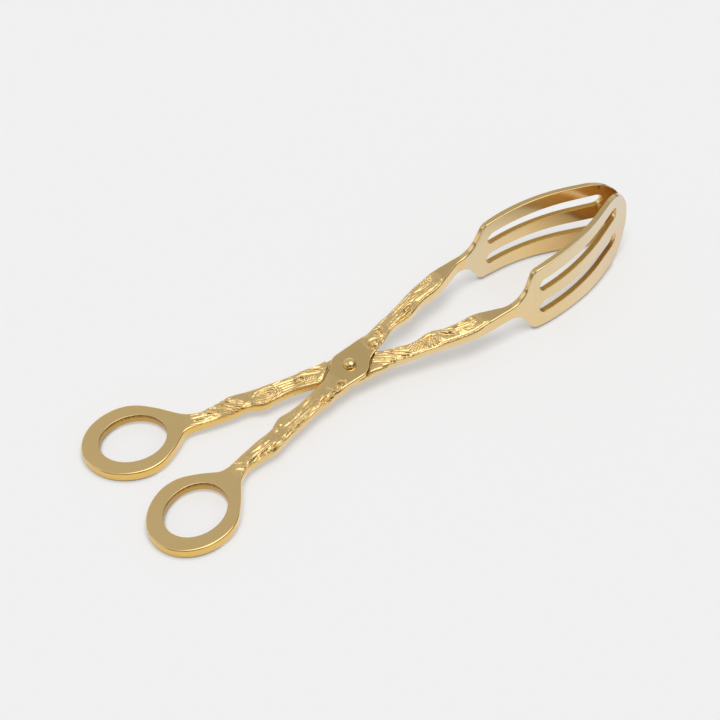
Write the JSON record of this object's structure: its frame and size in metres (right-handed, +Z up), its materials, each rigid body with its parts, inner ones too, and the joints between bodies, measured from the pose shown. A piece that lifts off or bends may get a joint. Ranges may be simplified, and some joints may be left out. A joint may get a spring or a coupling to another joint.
{
  "type": "serving tongs",
  "caption": "Scissor-action serving tongs with finger rings, twig-shaped shanks crossing at a riveted half lap, and curved slotted paddles that close around food.",
  "frame": {"origin": "middle of the closed tongs' box, on the table they rest on", "axes": "+X from the finger rings to the tips, +Z up, +Y to the side of the upper arm's paddle"},
  "size_m": [0.277, 0.0838, 0.0423],
  "materials": {
    "arm_gold": "polished",
    "rivet_gold": "polished"
  },
  "bodies": {
    "lower_arm": {"lower_arm": "arm_gold", "pivot_rivet": "rivet_gold"},
    "upper_arm": {"upper_arm": "arm_gold"}
  },
  "joints": [
    {"name": "pivot", "type": "hinge", "parent": "lower_arm", "child": "upper_arm", "pos_m": [-0.01956, 0, 0.01143], "axis": [-0.0779, 0, 0.997], "range_deg": [0, 45]}
  ]
}
